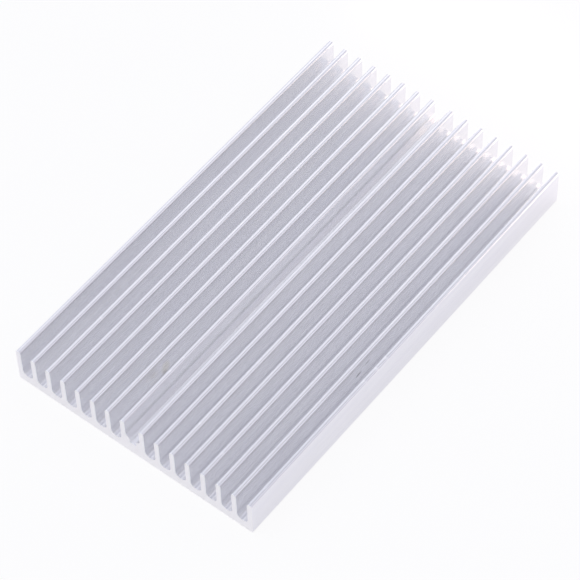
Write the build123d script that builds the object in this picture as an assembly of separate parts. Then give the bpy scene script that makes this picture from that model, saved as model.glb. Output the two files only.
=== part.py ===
"""Extruded aluminium heat sink: a flat plate with sixteen straight fins and a screw channel between two banks.

Every length is in millimetres. X runs across the fins, Y along them and Z up from the flat underside.
The origin is the middle of the underside.
"""
from build123d import *
import os

# Cut length and height of the extrusion
length = 158.0
height = 14.6
base_thickness = 3.5

# Two equal banks of fins, one on each side of the centre line
fins_per_bank = 8
fin_pitch = 6.0
fin_thickness = 1.9

# Distance between the two fins that stand beside the centre line, middle to middle
centre_pitch = 7.5

# Screw channel between the banks: sloping shoulders that lead a screw into a narrow groove
groove_width = 2.5
groove_floor = 5.0
shoulder_low = 6.9
shoulder_high = 8.4

# Flat that is left between the two arcs of each fin tip, and between the two arcs of each gap's floor
tip_flat = 0.5
root_flat = 0.1

# Radii of the other edges and corners
bottom_edge_radius = 0.8
shoulder_radius = 0.6
groove_mouth_radius = 0.4
groove_floor_radius = 0.3

# Sizes that follow from the ones above
fin_gap = fin_pitch - fin_thickness
centre_gap = centre_pitch - fin_thickness
tip_radius = (fin_thickness - tip_flat) / 2
root_radius = (fin_gap - root_flat) / 2
width = centre_pitch + 2 * (fins_per_bank - 1) * fin_pitch + fin_thickness
gullet_centres = [centre_pitch / 2 + (place + 0.5) * fin_pitch for place in range(fins_per_bank - 1)]


def solid_bar():
    """Outline of the bar that the channels are sunk into, with its two bottom edges rounded."""
    bar = Rectangle(width, height, align=(Align.CENTER, Align.MIN))
    return fillet(bar.vertices().sort_by(Axis.Y)[:2], bottom_edge_radius)


def gullet():
    """Outline of the space between two fins: straight walls, and a floor that is nearly a half circle."""
    space = Pos(0, base_thickness) * Rectangle(fin_gap, height, align=(Align.CENTER, Align.MIN))
    return fillet(space.vertices().sort_by(Axis.Y)[:2], root_radius)


def screw_channel():
    """Outline of the centre channel: two fin walls, two sloping shoulders and a square-bottomed groove."""
    right_side = [
        (groove_width / 2, groove_floor),
        (groove_width / 2, shoulder_low),
        (centre_gap / 2, shoulder_high),
        (centre_gap / 2, height + base_thickness),
    ]
    left_side = [(-x, z) for x, z in reversed(right_side)]
    space = make_face(Polyline(*right_side, *left_side, close=True))
    for level, radius in (
        (groove_floor, groove_floor_radius),
        (shoulder_low, groove_mouth_radius),
        (shoulder_high, shoulder_radius),
    ):
        corners = [corner for corner in space.vertices() if abs(corner.Y - level) < radius / 100]
        space = fillet(corners, radius)
    return space


def profile():
    """Cross-section of the extrusion, in a plane whose second direction is the part's height."""
    section = solid_bar() - screw_channel()
    for centre in gullet_centres:
        section -= Pos(centre, 0) * gullet()
        section -= Pos(-centre, 0) * gullet()
    tips = section.vertices().group_by(Axis.Y)[-1]
    return fillet(tips, tip_radius)


def heat_sink():
    """The whole part, one straight extrusion centred on the origin along Y."""
    return extrude(Plane.XZ * profile(), amount=length / 2, both=True)


os.makedirs("parts", exist_ok=True)
body = heat_sink()
body.label = "heat_sink"
export_step(body, "parts/heat_sink.step")
box = body.bounding_box().size
print(f"heat_sink {box.X:.1f} x {box.Y:.1f} x {box.Z:.1f} mm, {body.volume / 1000:.1f} cubic cm")
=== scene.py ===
import math

import bpy
import numpy as np
from mathutils import Euler, Matrix, Vector

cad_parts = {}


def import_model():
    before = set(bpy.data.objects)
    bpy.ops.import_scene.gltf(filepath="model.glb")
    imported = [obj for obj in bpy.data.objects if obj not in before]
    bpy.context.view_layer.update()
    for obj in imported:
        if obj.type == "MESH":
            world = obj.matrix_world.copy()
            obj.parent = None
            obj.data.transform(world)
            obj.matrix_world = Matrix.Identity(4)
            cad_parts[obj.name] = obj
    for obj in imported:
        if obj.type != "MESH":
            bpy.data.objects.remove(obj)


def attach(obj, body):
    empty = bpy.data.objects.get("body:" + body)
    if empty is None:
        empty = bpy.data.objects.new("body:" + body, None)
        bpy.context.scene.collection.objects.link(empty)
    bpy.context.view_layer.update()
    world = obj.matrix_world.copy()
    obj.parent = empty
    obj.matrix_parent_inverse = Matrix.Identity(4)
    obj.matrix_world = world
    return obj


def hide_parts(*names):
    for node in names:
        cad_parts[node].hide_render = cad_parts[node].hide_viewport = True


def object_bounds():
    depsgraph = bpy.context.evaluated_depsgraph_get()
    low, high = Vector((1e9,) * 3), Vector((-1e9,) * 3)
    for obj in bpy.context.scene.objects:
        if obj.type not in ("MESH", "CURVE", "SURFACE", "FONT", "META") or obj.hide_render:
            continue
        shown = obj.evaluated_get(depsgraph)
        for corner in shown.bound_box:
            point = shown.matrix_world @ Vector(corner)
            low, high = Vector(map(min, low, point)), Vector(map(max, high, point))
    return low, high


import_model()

# Lengths are in metres, as the frame's are. MM turns a size in millimetres into one
MM = 0.001

cad_low, cad_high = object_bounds()
LENGTH = cad_high.y - cad_low.y
WIDTH = cad_high.x - cad_low.x
HEIGHT = cad_high.z - cad_low.z

# The extrusion's section
FINS_PER_BANK = 8
FIN_PITCH = 6.0 * MM
FIN_THICKNESS = 1.9 * MM
PLATE = 3.5 * MM
CENTRE_GAP = WIDTH - 2 * ((FINS_PER_BANK - 1) * FIN_PITCH + FIN_THICKNESS)
GROOVE_WIDTH = 2.5 * MM
GROOVE_FLOOR = 5.0 * MM
SHOULDER_LOW = 6.9 * MM
SHOULDER_HIGH = 8.4 * MM

# Its radii, and the broken edge that deburring leaves round each cut end
TIP_RADIUS = 0.7 * MM
ROOT_RADIUS = 2.0 * MM
BOTTOM_RADIUS = 0.8 * MM
SHOULDER_RADIUS = 0.6 * MM
MOUTH_RADIUS = 0.4 * MM
GROOVE_RADIUS = 0.3 * MM
CUT_EDGE = 0.05 * MM

# How finely the outline is drawn: the steps of an arc, and how far past it each flat side gets a point
ARC_STEPS = 8
ARC_SUPPORT = 0.04 * MM

# Places along the part where the section repeats: some spread evenly, and some close together at each
# knock. The stretch at a knock is a number of its lengths to each side
EVEN_STATIONS = 27
KNOCK_STATIONS = 13
KNOCK_STRETCH = 2.4

# How far below the tip a knock still moves the metal
KNOCK_REACH = 1.6 * MM

# Edges that turn more than this many degrees stay crisp when the skin is shaded smooth
CRISP_ANGLE = 30

# Knocks along the fin tips: fin, counted from the left, place along it, depth, length and sideways lean
KNOCKS = [
    (3, -53.4 * MM, 0.030 * MM, 0.26 * MM, -0.03 * MM),
    (8, -55.5 * MM, 0.035 * MM, 0.45 * MM, 0.04 * MM),
    (8, -49.3 * MM, 0.032 * MM, 0.25 * MM, 0.05 * MM),
    (11, -65.2 * MM, 0.026 * MM, 0.28 * MM, 0.03 * MM),
    (13, -69.2 * MM, 0.030 * MM, 0.30 * MM, -0.03 * MM),
    (16, -71.1 * MM, 0.026 * MM, 0.30 * MM, -0.03 * MM),
    (16, -22.4 * MM, 0.045 * MM, 0.60 * MM, -0.07 * MM),
    (16, -16.5 * MM, 0.050 * MM, 0.40 * MM, -0.08 * MM),
    (16, -11.5 * MM, 0.040 * MM, 0.60 * MM, -0.07 * MM),
    (16, 28.5 * MM, 0.022 * MM, 0.30 * MM, -0.03 * MM),
]

# A stain with its darker core, and two scratches, on the fins' sides: middle and half the size along X, Y
# and Z in millimetres, turn about X in degrees, colour, and how much of it covers the metal
MARKS = [
    ((-8.8, -52.6, 8.4), (1.2, 2.8, 4.0), 0.0, "#E8DCA0", 0.20),
    ((-8.8, -53.2, 6.2), (1.2, 1.4, 1.8), 0.0, "#6A6258", 0.20),
    ((40.7, -19.2, 9.2), (0.5, 1.8, 0.5), 10.0, "#45444C", 0.75),
    ((40.7, -14.7, 10.7), (0.5, 1.4, 0.4), 11.0, "#6A6972", 0.5),
]

# The camera that took the photograph, fitted to the part's own edges, with its angles in degrees and its
# sensor and focal length in millimetres
CAMERA_AIM = Vector((-0.3, -1.5, 0.0)) * MM
CAMERA_DISTANCE = 920.4 * MM
CAMERA_AZIMUTH = 40.14
CAMERA_ELEVATION = 54.10
CAMERA_ROLL = -2.34
SENSOR = 36.0
LENS = 179.28
CLIP_END = 20.0

# The paper under the part: half its side in metres, its colour, and the shares of plain white that the
# camera and the metal see in it
FLOOR_HALF = 3.0
PAPER = "#EFEEF5"
WHITE_TO_CAMERA = 0.9
WHITE_TO_METAL = 0.4

# The light tent round the part: the level and colour of its cloth, and the soft areas that are lighter
# or darker. Each area has the azimuth, from +X towards +Y, and the elevation of its middle, its radius
# and the blur of its rim, all in degrees, and then the level and colour that it adds
TENT = (1.04, "#EEF0FC")
TENT_AREAS = [
    (88.0, 6.0, 45.5, 7.0, 0.20, "#FFF2E0"),
    (267.0, 0.0, 50.0, 13.0, 0.25, "#FFF8DF"),
    (0.0, 16.0, 39.0, 19.0, -0.38, "#E9F9FF"),
    (105.0, 30.0, 41.0, 12.0, -0.12, "#E0F4FF"),
    (156.0, 24.0, 15.0, 6.0, -0.20, "#FFF4EA"),
    (104.0, 68.0, 15.0, 7.0, -0.36, "#FFFFFF"),
    (131.0, 45.0, 8.5, 4.0, 0.38, "#FFFFFF"),
    (54.0, 54.0, 9.0, 6.0, 0.16, "#FFFFFF"),
    (185.0, 74.0, 14.0, 6.0, 0.70, "#FFFFFF"),
]

# A long low panel of light close behind the far end: the places of its two ends across, its place along,
# its top, its level and its colour
PANEL = (-60.0 * MM, 230.0 * MM, 119.0 * MM, 34.0 * MM, 2.4, "#FFF1E8")

# Light leaves the deep gaps only after many turns between the fins
GLOSSY_BOUNCES = 12


def linear(colour):
    """A colour written as sRGB hex, turned into the linear red, green, blue and alpha of a shader."""
    parts = [int(colour[place:place + 2], 16) / 255 for place in (1, 3, 5)]
    parts = [part / 12.92 if part <= 0.04045 else ((part + 0.055) / 1.055) ** 2.4 for part in parts]
    return (*parts, 1.0)


def add(tree, kind, inputs=None, **settings):
    """Adds one node, with its settings, and sets or links each of its inputs."""
    made = tree.nodes.new(kind)
    for name, value in settings.items():
        setattr(made, name, value)
    for name, value in (inputs or {}).items():
        if isinstance(value, bpy.types.NodeSocket):
            tree.links.new(value, made.inputs[name])
        else:
            made.inputs[name].default_value = value
    return made


def rounded(corners, radii, steps, support):
    """A closed outline whose corners are each turned in an arc.

    An arc's tangent length is its radius times the tangent of half the turn. Its points go round the
    circle that touches both sides, at equal angles, with one more point a support length away on each
    side, so that a flat side keeps its own normal when the faces are shaded smooth.
    """
    before = corners - np.roll(corners, 1, axis=0)
    after = np.roll(corners, -1, axis=0) - corners
    before /= np.linalg.norm(before, axis=1)[:, None]
    after /= np.linalg.norm(after, axis=1)[:, None]
    turn = np.arctan2(before[:, 0] * after[:, 1] - before[:, 1] * after[:, 0], (before * after).sum(axis=1))
    tangent = radii * np.tan(np.abs(turn) / 2)
    start = corners - before * tangent[:, None]
    inward = np.stack([-before[:, 1], before[:, 0]], axis=1) * np.sign(turn)[:, None]
    angle = turn[:, None] * np.linspace(0, 1, steps + 1)[None, :]
    ahead = np.sin(np.abs(angle)) * radii[:, None]
    aside = (1 - np.cos(angle)) * radii[:, None]
    arc = start[:, None] + before[:, None] * ahead[..., None] + inward[:, None] * aside[..., None]
    first = start - before * support
    last = arc[:, -1] + after * support
    return np.concatenate([first[:, None], arc, last[:, None]], axis=1).reshape(-1, 2)


def section():
    """The extrusion's outline, clockwise as seen from the near end.

    It runs from the left bottom edge over one bank of fins, the screw channel and the other bank to the
    right bottom edge. Each corner is a place across, a height and a radius, and `rounded` turns them
    into arcs.
    """
    corners = [(-WIDTH / 2, 0.0, BOTTOM_RADIUS)]
    middle = [
        (-CENTRE_GAP / 2, SHOULDER_HIGH, SHOULDER_RADIUS),
        (-GROOVE_WIDTH / 2, SHOULDER_LOW, MOUTH_RADIUS),
        (-GROOVE_WIDTH / 2, GROOVE_FLOOR, GROOVE_RADIUS),
    ]
    middle += [(-x, z, radius) for x, z, radius in reversed(middle)]
    for bank_left in (-WIDTH / 2, CENTRE_GAP / 2):
        for place in range(FINS_PER_BANK):
            left = bank_left + place * FIN_PITCH
            right = left + FIN_THICKNESS
            corners += [(left, HEIGHT, TIP_RADIUS), (right, HEIGHT, TIP_RADIUS)]
            if place < FINS_PER_BANK - 1:
                corners += [(right, PLATE, ROOT_RADIUS), (left + FIN_PITCH, PLATE, ROOT_RADIUS)]
        if bank_left < 0:
            corners += middle
    corners.append((WIDTH / 2, 0.0, BOTTOM_RADIUS))
    corners = np.array(corners)
    return rounded(corners[:, :2], corners[:, 2], ARC_STEPS, ARC_SUPPORT)


def fin_centres():
    """Places of the fins' middles across the part, from left to right."""
    bank = CENTRE_GAP / 2 + FIN_THICKNESS / 2 + FIN_PITCH * np.arange(FINS_PER_BANK)
    return np.concatenate([-bank[::-1], bank])


def stations():
    """Places along the part where the section repeats, in order, from one broken edge to the other."""
    even = np.linspace(-LENGTH / 2 + CUT_EDGE, LENGTH / 2 - CUT_EDGE, EVEN_STATIONS)
    across_knock = np.linspace(-KNOCK_STRETCH, KNOCK_STRETCH, KNOCK_STATIONS)
    close = [place + length * across_knock for _, place, _, length, _ in KNOCKS]
    return np.unique(np.concatenate([even, *close]))


def knocked(points, along):
    """Moves the fin tips at each knock, and says how fresh the metal is there.

    A dent's weight is a bell curve along the fin, times a share that falls evenly from one at the tip to
    nothing at the knock's reach below it. The tip goes down by depth times weight and sideways by lean
    times the weight's square. The metal is as fresh as the highest weight there.
    """
    x = np.repeat(points[None, :, 0], len(along), axis=0)
    z = np.repeat(points[None, :, 1], len(along), axis=0)
    fresh = np.zeros(x.shape)
    near_tip = np.clip(1 - (HEIGHT - points[:, 1]) / KNOCK_REACH, 0, 1)
    centres = fin_centres()
    for fin, place, depth, length, lean in KNOCKS:
        on_fin = np.abs(points[:, 0] - centres[fin - 1]) < FIN_THICKNESS
        bell = np.exp(-((along - place) / length) ** 2)[:, None]
        weight = (near_tip * on_fin)[None, :] * bell
        z -= depth * weight
        x += lean * weight ** 2
        fresh = np.maximum(fresh, weight)
    return x, z, fresh


def inset(points, depth):
    """The outline moved inwards by a depth, square to the line between each point's two neighbours."""
    way = np.roll(points, -1, axis=0) - np.roll(points, 1, axis=0)
    way /= np.linalg.norm(way, axis=1)[:, None]
    return points - depth * np.stack([-way[:, 1], way[:, 0]], axis=1)


def extrusion():
    """The skin: the section carried along the part, with a broken edge and a sawn face at each end.

    Every row of the grid is the outline at one station. The first and last rows are the outline moved
    inwards, at the cut ends themselves, and each is closed by one flat face. The faces of those edges
    and ends are sawn metal.
    """
    points = section()
    along = stations()
    x, z, fresh = knocked(points, along)
    end_ring = inset(points, CUT_EDGE)
    x = np.vstack([end_ring[None, :, 0], x, end_ring[None, :, 0]])
    z = np.vstack([end_ring[None, :, 1], z, end_ring[None, :, 1]])
    fresh = np.pad(fresh, ((1, 1), (0, 0)))
    along = np.concatenate([[-LENGTH / 2], along, [LENGTH / 2]])
    y = np.repeat(along[:, None], len(points), axis=1)
    vertices = np.stack([x, y, z], axis=-1).reshape(-1, 3)
    rows, columns = x.shape
    here = (np.arange(rows - 1)[:, None] * columns + np.arange(columns)[None, :]).reshape(-1)
    step = (np.arange(rows - 1)[:, None] * columns + np.roll(np.arange(columns), -1)[None, :]).reshape(-1)
    sides = np.stack([here, step, step + columns, here + columns], axis=1)
    near_cap = np.arange(columns)[::-1]
    far_cap = np.arange(columns) + (rows - 1) * columns
    mesh = bpy.data.meshes.new("heat_sink_body")
    mesh.from_pydata(vertices.tolist(), [], sides.tolist() + [near_cap.tolist(), far_cap.tolist()])
    sawn = np.zeros(len(mesh.polygons), dtype=np.int32)
    sawn[:columns] = 1
    sawn[len(sides) - columns:] = 1
    mesh.materials.append(drawn_aluminium())
    mesh.materials.append(sawn_aluminium())
    mesh.polygons.foreach_set("material_index", sawn)
    mesh.polygons.foreach_set("use_smooth", np.ones(len(sawn), dtype=bool))
    mesh.set_sharp_from_angle(angle=math.radians(CRISP_ANGLE))
    mesh.attributes.new("fresh_metal", "FLOAT", "POINT").data.foreach_set("value", fresh.ravel())
    mesh.update()
    body = bpy.data.objects.new("heat_sink_body", mesh)
    bpy.context.scene.collection.objects.link(body)
    return body


def new_material(name):
    """An empty node material and its tree."""
    material = bpy.data.materials.new(name)
    material.use_nodes = True
    material.node_tree.nodes.clear()
    return material, material.node_tree


def noise(tree, coordinates, across, along, detail):
    """Noise with cells of one size along the fins and another across them, in both other directions."""
    inputs = {"Vector": coordinates, "Scale": (1 / across, 1 / along, 1 / across)}
    scaled = add(tree, "ShaderNodeMapping", inputs).outputs["Vector"]
    inputs = {"Vector": scaled, "Scale": 1.0, "Detail": detail}
    return add(tree, "ShaderNodeTexNoise", inputs).outputs["Fac"]


def spread(tree, value, low, high, to_low, to_high):
    """The value's range from low to high, carried over to another range."""
    inputs = {"Value": value, "From Min": low, "From Max": high, "To Min": to_low, "To Max": to_high}
    return add(tree, "ShaderNodeMapRange", inputs).outputs["Result"]


def blotch(tree, place, middle, size, turn):
    """One in the core of an oval patch, nothing outside it, and a soft rim in the outer seven tenths."""
    middle = Vector(middle) * MM
    size = Vector(size) * MM
    inputs = {"Vector": place, "Center": middle, "Angle": math.radians(-turn)}
    turned = add(tree, "ShaderNodeVectorRotate", inputs, rotation_type="X_AXIS").outputs["Vector"]
    away = add(tree, "ShaderNodeVectorMath", {0: turned, 1: middle}, operation="SUBTRACT").outputs["Vector"]
    away = add(tree, "ShaderNodeVectorMath", {0: away, 1: size}, operation="DIVIDE").outputs["Vector"]
    away = add(tree, "ShaderNodeVectorMath", {0: away}, operation="LENGTH").outputs["Value"]
    inputs = {"Value": away, "From Min": 1.0, "From Max": 0.3}
    return add(tree, "ShaderNodeMapRange", inputs, interpolation_type="SMOOTHSTEP").outputs["Result"]


def drawn_aluminium():
    """Mill-finish aluminium 6063, bare as the press leaves it: a bright satin skin that mirrors softly.

    The die's drag lines run along the part, so its sheen spreads across the fins. The lines are some
    0.05 mm apart, too fine to show, and are drawn as faint bands 2.2 mm wide and 90 mm long. The oxide
    skin's mottle, 5 by 12 mm, varies the roughness a little. Knocks are a touch rougher, and the marks
    darken or tint the metal.
    """
    material, tree = new_material("mill_finish_aluminium")
    place = add(tree, "ShaderNodeTexCoord").outputs["Object"]
    bands = noise(tree, place, 2.2 * MM, 90 * MM, 1.0)
    mottle = noise(tree, place, 5 * MM, 12 * MM, 3.0)
    banding = spread(tree, bands, 0.35, 0.65, 0.0, 1.0)
    inputs = {"Factor": banding, "A": linear("#F8F8F9"), "B": linear("#FBFBFB")}
    colour = add(tree, "ShaderNodeMix", inputs, data_type="RGBA").outputs["Result"]
    for middle, size, turn, shade, strength in MARKS:
        inside = blotch(tree, place, middle, size, turn)
        share = add(tree, "ShaderNodeMath", {0: inside, 1: strength}, operation="MULTIPLY").outputs["Value"]
        inputs = {"Factor": share, "A": colour, "B": linear(shade)}
        colour = add(tree, "ShaderNodeMix", inputs, data_type="RGBA").outputs["Result"]
    fresh = add(tree, "ShaderNodeAttribute", attribute_name="fresh_metal").outputs["Fac"]
    skin = spread(tree, mottle, 0.3, 0.7, 0.21, 0.24)
    inputs = {0: fresh, 1: 0.04, 2: skin}
    roughness = add(tree, "ShaderNodeMath", inputs, operation="MULTIPLY_ADD").outputs["Value"]
    across = add(tree, "ShaderNodeTangent", direction_type="RADIAL", axis="Y")
    surface = add(tree, "ShaderNodeBsdfPrincipled", {
        "Base Color": colour,
        "Metallic": 1.0,
        "Roughness": roughness,
        "Anisotropic": 0.5,
        "Tangent": across.outputs["Tangent"],
    })
    add(tree, "ShaderNodeOutputMaterial", {"Surface": surface.outputs["BSDF"]})
    return material


def sawn_aluminium():
    """Sawn and deburred aluminium: bright matt metal, whose fine grain spreads what it mirrors.

    The blade and the brush after it leave marks about 0.1 mm apart that cross one another. They are drawn
    as a grain of 0.3 mm, so that they show.
    """
    material, tree = new_material("sawn_aluminium")
    place = add(tree, "ShaderNodeTexCoord").outputs["Object"]
    grain = noise(tree, place, 0.3 * MM, 1.0, 1.0)
    bump = add(tree, "ShaderNodeBump", {"Height": grain, "Strength": 0.3, "Distance": 0.02 * MM})
    surface = add(tree, "ShaderNodeBsdfPrincipled", {
        "Base Color": linear("#FAF9F7"),
        "Metallic": 1.0,
        "Roughness": 0.5,
        "Normal": bump.outputs["Normal"],
    })
    add(tree, "ShaderNodeOutputMaterial", {"Surface": surface.outputs["BSDF"]})
    return material


def white_paper():
    """Matt white paper, which spreads light evenly and shows the part's soft shadow.

    The camera and the metal's mirror rays see a share of plain white in it, and the rest as it is lit.
    """
    material, tree = new_material("white_paper")
    paper = add(tree, "ShaderNodeBsdfDiffuse", {"Color": linear(PAPER)})
    white = add(tree, "ShaderNodeEmission", {"Color": (1.0, 1.0, 1.0, 1.0), "Strength": 1.0})
    ray = add(tree, "ShaderNodeLightPath")
    inputs = {0: ray.outputs["Is Camera Ray"], 1: WHITE_TO_CAMERA}
    seen = add(tree, "ShaderNodeMath", inputs, operation="MULTIPLY").outputs["Value"]
    inputs = {0: ray.outputs["Is Glossy Ray"], 1: WHITE_TO_METAL, 2: seen}
    share = add(tree, "ShaderNodeMath", inputs, operation="MULTIPLY_ADD").outputs["Value"]
    inputs = {"Fac": share, 1: paper.outputs["BSDF"], 2: white.outputs["Emission"]}
    mixed = add(tree, "ShaderNodeMixShader", inputs)
    add(tree, "ShaderNodeOutputMaterial", {"Surface": mixed.outputs["Shader"]})
    return material


def lit_cloth(level, colour):
    """White cloth lit from behind, an even soft light."""
    material, tree = new_material("lit_cloth")
    glow = add(tree, "ShaderNodeEmission", {"Color": linear(colour), "Strength": level})
    add(tree, "ShaderNodeOutputMaterial", {"Surface": glow.outputs["Emission"]})
    return material


def stage_sheet(name, corners, material):
    """A flat four-cornered sheet that belongs to the stage and not to the part."""
    mesh = bpy.data.meshes.new(name)
    mesh.from_pydata(corners, [], [(0, 1, 2, 3)])
    mesh.materials.append(material)
    sheet = bpy.data.objects.new(name, mesh)
    bpy.context.scene.collection.objects.link(sheet)
    return sheet


def floor():
    """A wide sheet of paper under the part."""
    half = FLOOR_HALF
    corners = [(-half, -half, 0), (half, -half, 0), (half, half, 0), (-half, half, 0)]
    stage_sheet("floor", corners, white_paper())


def panel():
    """A long low panel of light that only the part's far end mirrors, and that the camera doesn't show."""
    left, right, along, top, level, colour = PANEL
    corners = [(left, along, 0), (right, along, 0), (right, along, top), (left, along, top)]
    stage_sheet("panel", corners, lit_cloth(level, colour)).visible_camera = False


def world():
    """A white cloth tent: one level all round, with soft-edged areas added to it or taken from it.

    A direction is inside an area by the cosine of its angle to the area's middle, and what the area adds
    rises smoothly from the outer rim of its blur to the inner one.
    """
    surround = bpy.data.worlds.new("studio")
    surround.use_nodes = True
    tree = surround.node_tree
    tree.nodes.clear()
    direction = add(tree, "ShaderNodeTexCoord").outputs["Generated"]
    cloth_level, cloth_colour = TENT
    light = Vector(linear(cloth_colour)[:3]) * cloth_level
    for azimuth, elevation, radius, blur, level, colour in TENT_AREAS:
        around = math.radians(azimuth)
        up = math.radians(elevation)
        middle = Vector((math.cos(up) * math.cos(around), math.cos(up) * math.sin(around), math.sin(up)))
        facing = add(tree, "ShaderNodeVectorMath", {0: direction, 1: middle}, operation="DOT_PRODUCT")
        inside = add(tree, "ShaderNodeMapRange", {
            "Value": facing.outputs["Value"],
            "From Min": math.cos(math.radians(radius + blur)),
            "From Max": math.cos(math.radians(radius - blur)),
        }, interpolation_type="SMOOTHSTEP")
        amount = Vector(linear(colour)[:3]) * level
        inputs = {0: inside.outputs["Result"], 1: amount, 2: light}
        light = add(tree, "ShaderNodeVectorMath", inputs, operation="MULTIPLY_ADD").outputs["Vector"]
    tent = add(tree, "ShaderNodeBackground", {"Color": light, "Strength": 1.0})
    add(tree, "ShaderNodeOutputWorld", {"Surface": tent.outputs["Background"]})
    bpy.context.scene.world = surround


def camera():
    """The photograph's camera, back from the aim point by azimuth and elevation, and rolled about its view."""
    turn = Euler((math.radians(90 - CAMERA_ELEVATION), 0.0, math.radians(CAMERA_AZIMUTH))).to_matrix()
    turn = turn @ Matrix.Rotation(math.radians(CAMERA_ROLL), 3, "Z")
    eye = bpy.data.cameras.new("camera")
    eye.sensor_width = SENSOR
    eye.lens = LENS
    eye.clip_end = CLIP_END
    holder = bpy.data.objects.new("camera", eye)
    holder.matrix_world = Matrix.Translation(CAMERA_AIM + turn.col[2] * CAMERA_DISTANCE) @ turn.to_4x4()
    bpy.context.scene.collection.objects.link(holder)
    bpy.context.scene.camera = holder


body = extrusion()
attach(body, "root")
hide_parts("heat_sink")

floor()
panel()
world()
camera()
bpy.context.scene.cycles.glossy_bounces = GLOSSY_BOUNCES
bpy.context.scene.view_settings.view_transform = "Standard"
